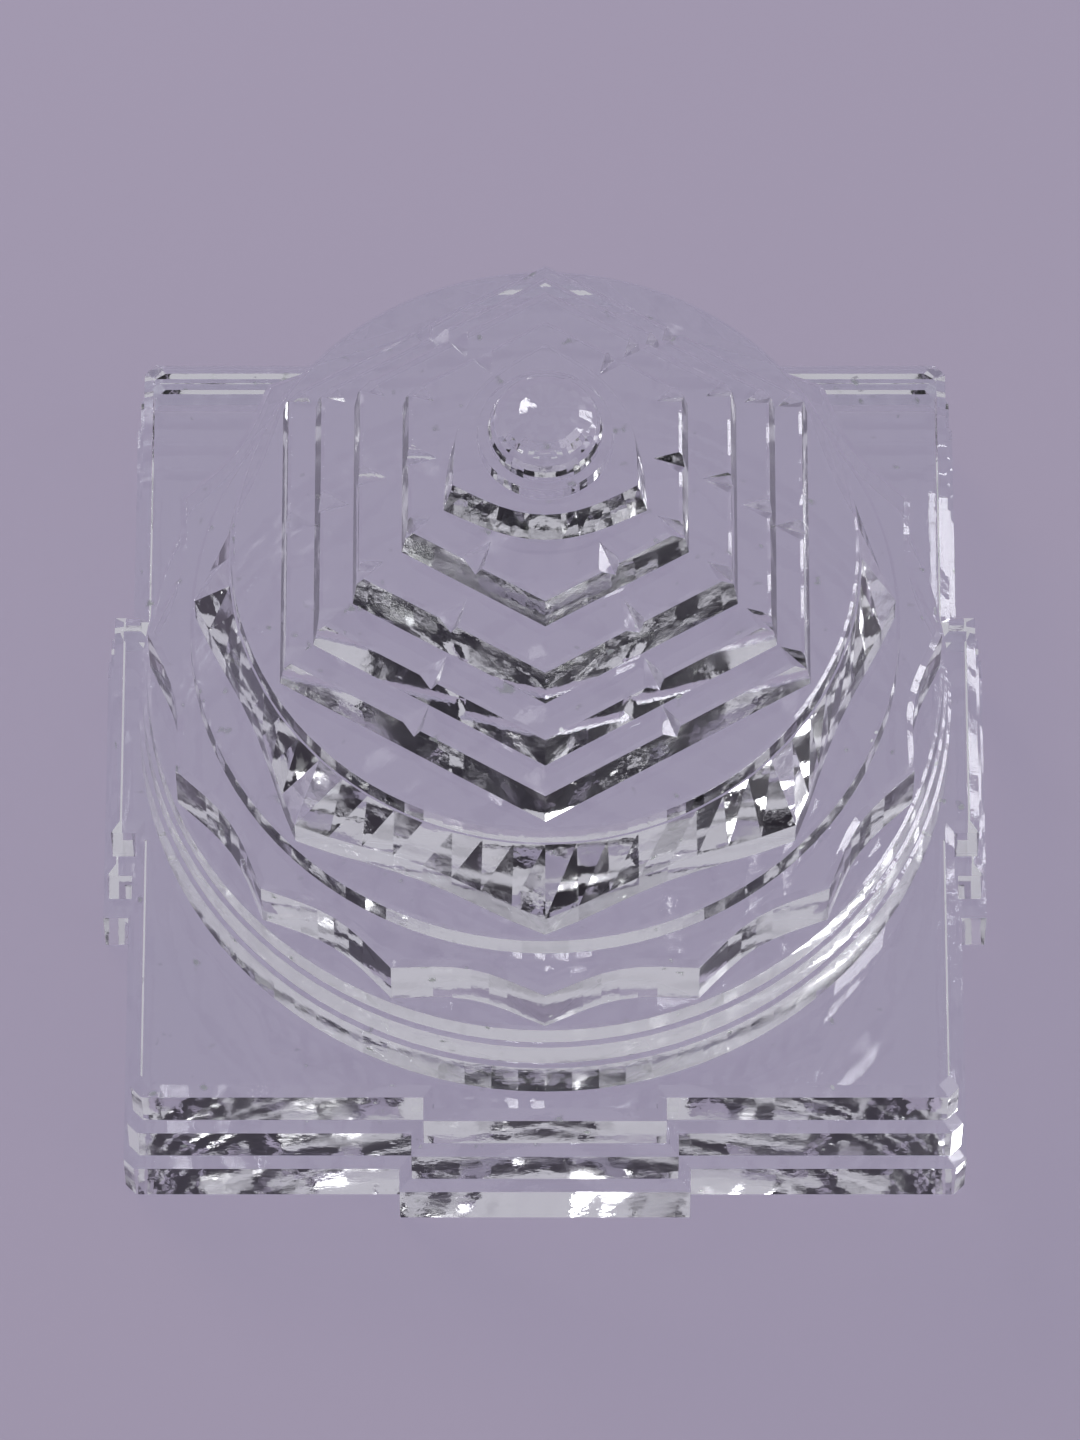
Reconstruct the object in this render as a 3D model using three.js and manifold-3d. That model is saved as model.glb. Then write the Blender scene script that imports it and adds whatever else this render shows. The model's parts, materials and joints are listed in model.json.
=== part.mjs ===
// A clear crystal Meru: a square, gated base that carries three circular steps, two lotus rings,
// a stepped six-sided pyramid, a triangular summit and a round bindu. The real one is cut from a
// single block, so each carved tier here is its own solid and rests face to face on the one below.
// Millimetres, +Z up, origin at the middle of the underside, and -Y is the front.
import * as THREE from "three";
import Module from "manifold-3d";

const wasm = await Module();
wasm.setup();

// Driving sizes of the square base, from the bottom step to the top one.
const BASE_WIDTH = 40.0;
const BASE_STEP_HEIGHT = 3.5;
const BASE_STEP_INSET = 0.3;
const BASE_EDGE_CHAMFER = 0.45;
const BASE_CORNER_CUT = 0.5;
const GATE_WIDTH = 13.8;
const GATE_NARROWING = 1.2;
const GATE_REACH = 1.2;

// The three circles, from the outer one in.
const OUTER_CIRCLE_RADIUS = 19.3;
const OUTER_CIRCLE_HEIGHT = 2.7;
const MIDDLE_CIRCLE_RADIUS = 19.05;
const MIDDLE_CIRCLE_HEIGHT = 1.8;
const INNER_CIRCLE_RADIUS = 18.8;
const INNER_CIRCLE_HEIGHT = 1.4;
const CIRCLE_DRAFT = 0.05;
const CIRCLE_EDGE = 0.15;
const CIRCLE_SEGMENTS = 96;

// The two lotus rings: pointed petals whose sides sweep in between their tips.
const SIXTEEN_PETAL_RADIUS = 18.6;
const SIXTEEN_PETAL_VALLEY = 17.6;
const SIXTEEN_PETAL_HEIGHT = 3.7;
const SIXTEEN_PETAL_SHOULDER = 0.3;
const EIGHT_PETAL_RADIUS = 16.3;
const EIGHT_PETAL_VALLEY = 14.7;
const EIGHT_PETAL_HEIGHT = 6.1;
const EIGHT_PETAL_WALL = 1.7;
const EIGHT_PETAL_TOP = 14.6;
const PETAL_STEPS = 8;

// The collar under the eight petals and the girdle above them.
const COLLAR_RADIUS = 16.6;
const COLLAR_HEIGHT = 1.4;
const GIRDLE_RADIUS = 14.5;
const GIRDLE_HEIGHT = 1.2;

// The stepped pyramid: the vertex radius and height of each six-sided terrace, from the lowest.
const TERRACES = [
  { name: "terrace_first", radius: 14.0, height: 2.1 },
  { name: "terrace_second", radius: 12.2, height: 2.1 },
  { name: "terrace_third", radius: 10.1, height: 2.6 },
  { name: "terrace_fourth", radius: 7.5, height: 2.0 },
];
const TERRACE_SIDES = 6;
const TERRACE_DRAFT = 0.35;
const TERRACE_EDGE = 0.18;

// The V-shaped notches filed down the pyramid, one every 30 degrees except at the front and the back.
const NOTCH_SPACING_DEG = 30;
const NOTCH_WIDTH = 1.3;
const NOTCH_DEPTH = 0.8;

// The summit.
const SUMMIT_RADIUS = 5.3;
const SUMMIT_BULGE = 1.5;
const SUMMIT_HEIGHT = 2.0;
const SUMMIT_DRAFT = 0.5;
const SUMMIT_EDGE_STEPS = 12;
const BINDU_SEAT_RADIUS = 3.1;
const BINDU_SEAT_HEIGHT = 0.7;
const BINDU_RADIUS = 2.6;
const BINDU_HEIGHT = 2.1;
const BINDU_SEGMENTS = 48;
const BINDU_RINGS = 10;

const TURN = 2 * Math.PI;
const FRONT = -Math.PI / 2;

const crystal = new THREE.MeshStandardMaterial({
  color: 0xe9ebf2,
  roughness: 0.04,
  metalness: 0,
  transparent: true,
  opacity: 0.35,
});

// A closed solid through stacked outlines: each section is { z, points }, all with as many points.
function loft(sections) {
  const count = sections[0].points.length;
  const positions = sections.flatMap(({ z, points }) => points.flatMap((p) => [p.x, p.y, z]));
  const index = [];
  for (let s = 0; s + 1 < sections.length; s++) {
    for (let i = 0; i < count; i++) {
      const here = s * count + i;
      const next = s * count + ((i + 1) % count);
      index.push(here, next, next + count, here, next + count, here + count);
    }
  }
  const capOf = (section) => THREE.ShapeUtils.triangulateShape(section.points, []);
  for (const [a, b, c] of capOf(sections[0])) index.push(a, c, b);
  const top = (sections.length - 1) * count;
  for (const [a, b, c] of capOf(sections.at(-1))) index.push(top + a, top + b, top + c);
  const geometry = new THREE.BufferGeometry();
  geometry.setAttribute("position", new THREE.Float32BufferAttribute(positions, 3));
  geometry.setIndex(index);
  return geometry;
}

// Points of a regular outline, with a vertex at the front.
function ring(radius, segments) {
  return Array.from({ length: segments }, (_, i) => {
    const angle = FRONT + (i / segments) * TURN;
    return new THREE.Vector2(radius * Math.cos(angle), radius * Math.sin(angle));
  });
}

// A lotus outline: petal tips at tipRadius joined by shallow arcs that dip to valleyRadius.
function petals(count, tipRadius, valleyRadius, inset = 0) {
  const points = count * PETAL_STEPS;
  return Array.from({ length: points }, (_, i) => {
    const along = (i % PETAL_STEPS) / PETAL_STEPS;
    const dip = Math.sin(along * Math.PI);
    const radius = tipRadius - inset - (tipRadius - valleyRadius) * dip;
    const angle = FRONT + (i / points) * TURN;
    return new THREE.Vector2(radius * Math.cos(angle), radius * Math.sin(angle));
  });
}

// A square outline with cut corners and a gate standing out of the middle of each side.
function gatedSquare(halfWidth, gateWidth, inset) {
  const half = halfWidth - inset;
  const gate = gateWidth / 2 - inset;
  const reach = half + GATE_REACH;
  const corner = half - BASE_CORNER_CUT;
  const side = [
    [-gate, -half],
    [-gate, -reach],
    [gate, -reach],
    [gate, -half],
    [corner, -half],
    [half, -corner],
  ];
  return Array.from({ length: 4 }, (_, turn) =>
    side.map(([x, y]) => new THREE.Vector2(x, y).rotateAround(new THREE.Vector2(), (turn * TURN) / 4)),
  ).flat();
}

// The summit's outline: a triangle that points to the back and whose sides swell outwards.
function swollenTriangle(radius) {
  const tips = [0, 1, 2].map((i) => {
    const angle = -FRONT + (i / 3) * TURN;
    return new THREE.Vector2(radius * Math.cos(angle), radius * Math.sin(angle));
  });
  return tips.flatMap((tip, i) => {
    const next = tips[(i + 1) % tips.length];
    const outward = tip.clone().add(next).normalize();
    return Array.from({ length: SUMMIT_EDGE_STEPS }, (_, k) => {
      const along = k / SUMMIT_EDGE_STEPS;
      const swell = SUMMIT_BULGE * Math.sin(along * Math.PI);
      return tip.clone().lerp(next, along).addScaledVector(outward, swell);
    });
  });
}

// One base step, chamfered above and below, so that two steps meet in a V-shaped groove.
function baseStep(level, z) {
  const half = BASE_WIDTH / 2 - level * BASE_STEP_INSET;
  const gate = GATE_WIDTH - level * GATE_NARROWING;
  const narrow = gatedSquare(half, gate, BASE_EDGE_CHAMFER);
  const wide = gatedSquare(half, gate, 0);
  const top = z + BASE_STEP_HEIGHT;
  // The underside of the bottom step is sharp, because it is the face that the block stands on.
  const foot = level === 0 ? [] : [{ z, points: narrow }];
  const lowest = level === 0 ? z : z + BASE_EDGE_CHAMFER;
  return loft([
    ...foot,
    { z: lowest, points: wide },
    { z: top - BASE_EDGE_CHAMFER, points: wide },
    { z: top, points: narrow },
  ]);
}

// A round step with a drafted wall and a softened upper edge.
function roundStep(radius, height, z) {
  return loft([
    { z, points: ring(radius, CIRCLE_SEGMENTS) },
    { z: z + height - CIRCLE_EDGE, points: ring(radius - CIRCLE_DRAFT, CIRCLE_SEGMENTS) },
    { z: z + height, points: ring(radius - CIRCLE_DRAFT - CIRCLE_EDGE, CIRCLE_SEGMENTS) },
  ]);
}

// Turns a geometry into a solid that can be cut, and a solid back into a geometry.
function toSolid(geometry) {
  return new wasm.Manifold(
    new wasm.Mesh({
      numProp: 3,
      vertProperties: geometry.getAttribute("position").array,
      triVerts: new Uint32Array(geometry.getIndex().array),
    }),
  );
}

function toGeometry(solid) {
  const mesh = solid.getMesh();
  const geometry = new THREE.BufferGeometry();
  geometry.setAttribute("position", new THREE.BufferAttribute(mesh.vertProperties, 3));
  geometry.setIndex(new THREE.BufferAttribute(mesh.triVerts, 1));
  return geometry;
}

// The notch cutters of one terrace: triangular bars laid across its edge, pointing to the middle.
function notchCutters(outline, z, height) {
  const angles = [];
  for (let deg = NOTCH_SPACING_DEG; deg < 360; deg += NOTCH_SPACING_DEG) {
    if (deg !== 180) angles.push(deg);
  }
  return angles.map((deg) => {
    const atCorner = deg % (360 / TERRACE_SIDES) === 0;
    const reach = atCorner ? outline : outline * Math.cos(Math.PI / TERRACE_SIDES);
    const outer = reach + NOTCH_WIDTH;
    const inner = reach - NOTCH_WIDTH;
    const top = z + height;
    const section = (radius, depth) => [
      [radius, -NOTCH_WIDTH, top + NOTCH_WIDTH],
      [radius, 0, top - depth],
      [radius, NOTCH_WIDTH, top + NOTCH_WIDTH],
    ];
    const bar = new THREE.BufferGeometry();
    const corners = [...section(inner, 0), ...section(outer, 2 * NOTCH_DEPTH)];
    bar.setAttribute("position", new THREE.Float32BufferAttribute(corners.flat(), 3));
    bar.setIndex([0, 2, 1, 3, 4, 5, 0, 1, 4, 0, 4, 3, 1, 2, 5, 1, 5, 4, 2, 0, 3, 2, 3, 5]);
    bar.rotateZ(FRONT + THREE.MathUtils.degToRad(deg));
    return toSolid(bar);
  });
}

// One six-sided terrace, notched along its upper edge.
function terrace({ radius, height }, z) {
  const body = loft([
    { z, points: ring(radius, TERRACE_SIDES) },
    { z: z + height - TERRACE_EDGE, points: ring(radius - TERRACE_DRAFT, TERRACE_SIDES) },
    { z: z + height, points: ring(radius - TERRACE_DRAFT - TERRACE_EDGE, TERRACE_SIDES) },
  ]);
  const cutters = notchCutters(radius - TERRACE_DRAFT, z, height);
  return toGeometry(cutters.reduce((solid, cutter) => solid.subtract(cutter), toSolid(body)));
}

// The bindu: a low dome on a short round foot.
function bindu(z) {
  const profile = [new THREE.Vector2(0, z), new THREE.Vector2(BINDU_RADIUS, z)];
  for (let i = 1; i <= BINDU_RINGS; i++) {
    const angle = (i / BINDU_RINGS) * (Math.PI / 2);
    const radius = i === BINDU_RINGS ? 0 : BINDU_RADIUS * Math.cos(angle);
    profile.push(new THREE.Vector2(radius, z + BINDU_HEIGHT * Math.sin(angle)));
  }
  const dome = new THREE.LatheGeometry(profile, BINDU_SEGMENTS);
  return dome.rotateX(Math.PI / 2);
}

const group = new THREE.Group();
let level = 0;

// Adds a tier on top of what is there already, and raises the level by its height.
function stack(name, height, shape) {
  const mesh = new THREE.Mesh(shape(level), crystal);
  mesh.name = name;
  group.add(mesh);
  level += height;
}

["base_bottom_step", "base_middle_step", "base_top_step"].forEach((name, i) =>
  stack(name, BASE_STEP_HEIGHT, (z) => baseStep(i, z)),
);
stack("outer_circle", OUTER_CIRCLE_HEIGHT, (z) => roundStep(OUTER_CIRCLE_RADIUS, OUTER_CIRCLE_HEIGHT, z));
stack("middle_circle", MIDDLE_CIRCLE_HEIGHT, (z) => roundStep(MIDDLE_CIRCLE_RADIUS, MIDDLE_CIRCLE_HEIGHT, z));
stack("inner_circle", INNER_CIRCLE_HEIGHT, (z) => roundStep(INNER_CIRCLE_RADIUS, INNER_CIRCLE_HEIGHT, z));
stack("sixteen_petal_lotus", SIXTEEN_PETAL_HEIGHT, (z) =>
  loft([
    { z, points: petals(16, SIXTEEN_PETAL_RADIUS, SIXTEEN_PETAL_VALLEY) },
    {
      z: z + SIXTEEN_PETAL_HEIGHT - SIXTEEN_PETAL_SHOULDER,
      points: petals(16, SIXTEEN_PETAL_RADIUS, SIXTEEN_PETAL_VALLEY),
    },
    {
      z: z + SIXTEEN_PETAL_HEIGHT,
      points: petals(16, SIXTEEN_PETAL_RADIUS, SIXTEEN_PETAL_VALLEY, SIXTEEN_PETAL_SHOULDER),
    },
  ]),
);
stack("lotus_collar", COLLAR_HEIGHT, (z) => roundStep(COLLAR_RADIUS, COLLAR_HEIGHT, z));
stack("eight_petal_lotus", EIGHT_PETAL_HEIGHT, (z) =>
  loft([
    { z, points: petals(8, EIGHT_PETAL_RADIUS, EIGHT_PETAL_VALLEY) },
    { z: z + EIGHT_PETAL_WALL, points: petals(8, EIGHT_PETAL_RADIUS, EIGHT_PETAL_VALLEY) },
    { z: z + EIGHT_PETAL_HEIGHT, points: petals(8, EIGHT_PETAL_TOP, EIGHT_PETAL_TOP) },
  ]),
);
stack("girdle_circle", GIRDLE_HEIGHT, (z) => roundStep(GIRDLE_RADIUS, GIRDLE_HEIGHT, z));
TERRACES.forEach((size) => stack(size.name, size.height, (z) => terrace(size, z)));
stack("summit_triangle", SUMMIT_HEIGHT, (z) =>
  loft([
    { z, points: swollenTriangle(SUMMIT_RADIUS) },
    { z: z + SUMMIT_HEIGHT, points: swollenTriangle(SUMMIT_RADIUS - SUMMIT_DRAFT) },
  ]),
);
stack("bindu_seat", BINDU_SEAT_HEIGHT, (z) =>
  loft([
    { z, points: ring(BINDU_SEAT_RADIUS, BINDU_SEGMENTS) },
    { z: z + BINDU_SEAT_HEIGHT, points: ring(BINDU_SEAT_RADIUS - CIRCLE_DRAFT, BINDU_SEGMENTS) },
  ]),
);
stack("bindu", BINDU_HEIGHT, bindu);

export default group;
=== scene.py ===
"""Looks for a clear crystal shri yantra: one carved block of glass on a pale floor."""

import json
import logging
import math
from dataclasses import dataclass
from enum import Enum
from typing import Any, Dict, List, Tuple, Union

import bpy
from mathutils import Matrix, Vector

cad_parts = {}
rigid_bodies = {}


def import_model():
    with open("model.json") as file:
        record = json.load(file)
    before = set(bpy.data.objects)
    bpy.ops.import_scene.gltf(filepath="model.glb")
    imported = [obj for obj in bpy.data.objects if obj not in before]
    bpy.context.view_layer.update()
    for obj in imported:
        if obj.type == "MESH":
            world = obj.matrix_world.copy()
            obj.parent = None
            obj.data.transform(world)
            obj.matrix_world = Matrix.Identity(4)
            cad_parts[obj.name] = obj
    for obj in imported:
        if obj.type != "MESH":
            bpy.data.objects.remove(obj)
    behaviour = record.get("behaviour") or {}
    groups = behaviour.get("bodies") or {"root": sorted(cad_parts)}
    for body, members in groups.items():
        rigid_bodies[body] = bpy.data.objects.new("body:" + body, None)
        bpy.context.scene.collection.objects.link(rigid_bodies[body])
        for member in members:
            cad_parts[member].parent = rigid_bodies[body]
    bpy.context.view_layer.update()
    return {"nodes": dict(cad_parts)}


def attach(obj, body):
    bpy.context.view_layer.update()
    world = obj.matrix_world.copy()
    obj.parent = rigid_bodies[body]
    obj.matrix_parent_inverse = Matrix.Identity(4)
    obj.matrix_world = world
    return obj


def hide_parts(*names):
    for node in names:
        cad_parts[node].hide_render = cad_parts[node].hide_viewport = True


logging.basicConfig(level=logging.INFO, format="%(message)s")
LOG = logging.getLogger("yantra")

Colour = Tuple[float, float, float, float]
Point = Tuple[float, float, float]

# The Mix node has one set of sockets per kind of value: these are the ones for colours.
MIX_SHARE, MIX_FIRST, MIX_SECOND, MIX_RESULT = 0, 6, 7, 2


class Slot(str, Enum):
    """Material slots of the record."""

    CRYSTAL = "crystal"


class Stage(str, Enum):
    """Names of what surrounds the object."""

    FLOOR = "floor"


@dataclass(frozen=True)
class CrystalFinish:
    """The look of ground and polished clear crystal. Noise scales are per metre."""

    tint: Colour = (0.955, 0.965, 0.975, 1.0)
    residue: Colour = (0.42, 0.50, 0.40, 1.0)
    ior: float = 1.52
    polish: float = 0.02
    haze: float = 0.09
    haze_scale: float = 260.0
    haze_floor: float = 0.5
    haze_gain: float = 3.0
    speck_scale: float = 900.0
    speck_floor: float = 0.70
    speck_gain: float = 14.0
    speck_roughness: float = 0.4
    tool_mark_scale: float = 700.0
    tool_mark_detail: float = 4.0
    tool_mark_depth: float = 0.00002
    tool_mark_strength: float = 0.35


@dataclass(frozen=True)
class FloorFinish:
    """The look of the plain lavender-grey floor."""

    colour: Colour = (0.33, 0.29, 0.38, 1.0)
    roughness: float = 0.85


class Socket:
    """A shader value that can be used in Python expressions."""

    def __init__(self, shader: "Shader", link: Any) -> None:
        """Wraps a node's output."""
        self.shader = shader
        self.link = link

    def _math(self, operation: str, first: Any, second: Any, clamp: bool = False) -> "Socket":
        """Adds a Math node.

        Args:
            operation: the node's operation.
            first: its first value or Socket.
            second: its second value or Socket.
            clamp: whether the result is held between 0 and 1.

        Returns:
            The node's result.
        """
        settings = {"operation": operation, "use_clamp": clamp}
        return self.shader.node("ShaderNodeMath", settings, {0: first, 1: second})["Value"]

    def __add__(self, other: Any) -> "Socket":
        """Returns self + other."""
        return self._math("ADD", self, other)

    __radd__ = __add__

    def __mul__(self, other: Any) -> "Socket":
        """Returns self * other."""
        return self._math("MULTIPLY", self, other)

    __rmul__ = __mul__

    def __sub__(self, other: Any) -> "Socket":
        """Returns self - other."""
        return self._math("SUBTRACT", self, other)

    def __rsub__(self, other: Any) -> "Socket":
        """Returns other - self."""
        return self._math("SUBTRACT", other, self)

    def clamped(self) -> "Socket":
        """Returns this value held between 0 and 1."""
        return self._math("ADD", self, 0.0, clamp=True)


class Shader:
    """Builds one material's node tree."""

    def __init__(self, name: str) -> None:
        """Starts an empty material."""
        self.material = bpy.data.materials.new(name)
        self.material.use_nodes = True
        self.tree = self.material.node_tree
        self.tree.nodes.clear()

    def node(
        self, kind: str, settings: Dict[str, Any], inputs: Dict[Union[int, str], Any]
    ) -> Dict[str, Socket]:
        """Adds a node.

        Args:
            kind: the node's type.
            settings: properties, set before the sockets.
            inputs: values or Sockets by input name or index.

        Returns:
            The node's outputs by name.
        """
        made = self.tree.nodes.new(kind)
        for key, value in settings.items():
            setattr(made, key, value)
        for key, value in inputs.items():
            if isinstance(value, Socket):
                self.tree.links.new(value.link, made.inputs[key])
            else:
                made.inputs[key].default_value = value
        return {out.name: Socket(self, out) for out in made.outputs if out.enabled}

    def noise(self, scale: float, detail: float = 2.0) -> Socket:
        """Returns noise fixed to the object, at a scale per metre."""
        place = self.node("ShaderNodeTexCoord", {}, {})["Object"]
        inputs = {"Vector": place, "Scale": scale, "Detail": detail}
        return self.node("ShaderNodeTexNoise", {}, inputs)["Fac"]

    def mix(self, share: Socket, first: Colour, second: Colour) -> Socket:
        """Returns a colour between two, by share."""
        inputs = {MIX_SHARE: share, MIX_FIRST: first, MIX_SECOND: second}
        self.node("ShaderNodeMix", {"data_type": "RGBA"}, inputs)
        return Socket(self, self.tree.nodes[-1].outputs[MIX_RESULT])

    def surface(self, inputs: Dict[str, Any]) -> bpy.types.Material:
        """Ends the material with a Principled surface."""
        made = self.node("ShaderNodeBsdfPrincipled", {}, inputs)["BSDF"]
        self.node("ShaderNodeOutputMaterial", {}, {"Surface": made})
        return self.material

    def lit_through(self, inputs: Dict[str, Any], filter_colour: Colour) -> bpy.types.Material:
        """Ends the material with clear glass that lets light reach what lies under it.

        Args:
            inputs: the glass surface's values or Sockets by input name.
            filter_colour: what the glass does to light that passes through it.

        Returns:
            The finished material.
        """
        glass = self.node("ShaderNodeBsdfPrincipled", {}, inputs)["BSDF"]
        clear = self.node("ShaderNodeBsdfTransparent", {}, {"Color": filter_colour})["BSDF"]
        rays = self.node("ShaderNodeLightPath", {}, {})
        passing = (rays["Is Shadow Ray"] + rays["Is Diffuse Ray"]).clamped()
        mixed = self.node("ShaderNodeMixShader", {}, {0: passing, 1: glass, 2: clear})["Shader"]
        self.node("ShaderNodeOutputMaterial", {}, {"Surface": mixed})
        return self.material


def crystal_material(finish: CrystalFinish) -> bpy.types.Material:
    """Clear glass with uneven polish, tool marks and rare specks of polishing residue."""
    shader = Shader("crystal")
    haze = ((shader.noise(finish.haze_scale) - finish.haze_floor) * finish.haze_gain).clamped()
    speck_noise = shader.noise(finish.speck_scale)
    specks = ((speck_noise - finish.speck_floor) * finish.speck_gain).clamped()
    marks = shader.noise(finish.tool_mark_scale, finish.tool_mark_detail)
    bump_inputs = {
        "Strength": finish.tool_mark_strength,
        "Distance": finish.tool_mark_depth,
        "Height": marks,
    }
    bump = shader.node("ShaderNodeBump", {}, bump_inputs)["Normal"]
    return shader.lit_through(
        {
            "Base Color": shader.mix(specks, finish.tint, finish.residue),
            "Roughness": haze * finish.haze + specks * finish.speck_roughness + finish.polish,
            "IOR": finish.ior,
            "Transmission Weight": 1.0,
            "Normal": bump,
        },
        finish.tint,
    )


def floor_material(finish: FloorFinish) -> bpy.types.Material:
    """A matt floor."""
    shader = Shader("floor")
    return shader.surface({"Base Color": finish.colour, "Roughness": finish.roughness})


@dataclass
class CrystalBlock:
    """The carved block: every tier fused into one body of glass, as the real one is."""

    nodes: Dict[str, bpy.types.Object]
    finish: CrystalFinish
    edge_width: float = 0.00012
    edge_segments: int = 2
    edge_angle: float = math.radians(28)

    def _copy(self, node: bpy.types.Object) -> bpy.types.Object:
        """Returns a copy of a tier that can be fused."""
        twin = bpy.data.objects.new(node.name + "_tier", node.data.copy())
        bpy.context.scene.collection.objects.link(twin)
        return twin

    def _settle(self, block: bpy.types.Object) -> None:
        """Applies the block's modifiers to its mesh."""
        graph = bpy.context.evaluated_depsgraph_get()
        settled = bpy.data.meshes.new_from_object(block.evaluated_get(graph))
        block.modifiers.clear()
        block.data = settled

    def _fuse(self) -> bpy.types.Object:
        """Returns all tiers as one body, joined from the bottom up."""
        tiers: List[bpy.types.Object] = [self._copy(self.nodes[n]) for n in sorted(self.nodes)]
        tiers.sort(key=lambda tier: min(v.co.z for v in tier.data.vertices))
        block = tiers[0]
        for tier in tiers[1:]:
            union = block.modifiers.new("union", "BOOLEAN")
            union.operation, union.solver, union.object = "UNION", "EXACT", tier
            self._settle(block)
            bpy.data.objects.remove(tier)
            LOG.info("fused %d vertices", len(block.data.vertices))
        return block

    def _soften(self, block: bpy.types.Object) -> None:
        """Takes the sharpness off the block's edges."""
        bevel = block.modifiers.new("edges", "BEVEL")
        bevel.width, bevel.segments = self.edge_width, self.edge_segments
        bevel.limit_method, bevel.angle_limit = "ANGLE", self.edge_angle
        bevel.use_clamp_overlap = True
        self._settle(block)

    def build(self) -> bpy.types.Object:
        """Fuses the tiers, softens the edges and gives the block its finish."""
        block = self._fuse()
        self._soften(block)
        block.name = "crystal_block"
        block.data.materials.clear()
        block.data.materials.append(crystal_material(self.finish))
        block.data.polygons.foreach_set("use_smooth", [False] * len(block.data.polygons))
        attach(block, "root")
        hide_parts(*self.nodes)
        LOG.info("crystal_block: %d faces", len(block.data.polygons))
        return block


@dataclass(frozen=True)
class Lamp:
    """A large soft lamp: where it stands, its width in metres and its power in watts."""

    name: str
    place: Point
    size: float
    power: float


@dataclass
class Studio:
    """Floor, soft light and camera."""

    finish: FloorFinish
    elevation: float = math.radians(64)
    distance: float = 0.48
    lens: float = 252.0
    sensor: float = 36.0
    clip: Tuple[float, float] = (0.01, 20.0)
    target: Point = (-0.00024, 0.0, 0.0106)
    floor_size: float = 6.0
    floor_gap: float = 0.00005
    sky: Colour = (0.86, 0.84, 0.92, 1.0)
    sky_strength: float = 0.62
    lamps: Tuple[Lamp, ...] = (
        Lamp("key", (-0.35, 0.45, 0.55), 0.30, 3.2),
        Lamp("fill", (0.50, -0.25, 0.45), 0.45, 1.2),
    )

    def add_floor(self) -> None:
        """Adds the floor just under the object."""
        bpy.ops.mesh.primitive_plane_add(size=self.floor_size)
        plane = bpy.context.active_object
        plane.name = Stage.FLOOR.value
        plane.location.z = -self.floor_gap
        plane.data.materials.append(floor_material(self.finish))

    def add_lamp(self, lamp: Lamp) -> None:
        """Adds a lamp that faces the object."""
        data = bpy.data.lights.new(lamp.name, "AREA")
        data.shape, data.size, data.energy = "DISK", lamp.size, lamp.power
        light = bpy.data.objects.new(lamp.name, data)
        bpy.context.scene.collection.objects.link(light)
        light.location = lamp.place
        light.rotation_euler = (-Vector(lamp.place)).to_track_quat("-Z", "Y").to_euler()

    def add_sky(self) -> None:
        """Sets an even pale sky."""
        world = bpy.data.worlds.new("sky")
        bpy.context.scene.world = world
        world.use_nodes = True
        background = world.node_tree.nodes["Background"]
        background.inputs["Color"].default_value = self.sky
        background.inputs["Strength"].default_value = self.sky_strength

    def add_camera(self) -> None:
        """Places the camera at the photograph's angle."""
        data = bpy.data.cameras.new("camera")
        data.lens, data.sensor_width = self.lens, self.sensor
        data.clip_start, data.clip_end = self.clip
        camera = bpy.data.objects.new("camera", data)
        bpy.context.scene.collection.objects.link(camera)
        back = Vector((0.0, -math.cos(self.elevation), math.sin(self.elevation)))
        camera.location = Vector(self.target) + back * self.distance
        camera.rotation_euler = (-back).to_track_quat("-Z", "Y").to_euler()
        bpy.context.scene.camera = camera

    def build(self) -> None:
        """Sets up everything around the object."""
        self.add_sky()
        self.add_floor()
        for lamp in self.lamps:
            self.add_lamp(lamp)
        self.add_camera()
        bpy.context.scene.view_settings.view_transform = "Standard"


def main() -> None:
    """Builds the whole scene."""
    for item in list(bpy.data.objects):
        bpy.data.objects.remove(item)
    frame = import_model()
    CrystalBlock(frame["nodes"], CrystalFinish()).build()
    Studio(FloorFinish()).build()


if __name__ == "__main__":
    main()
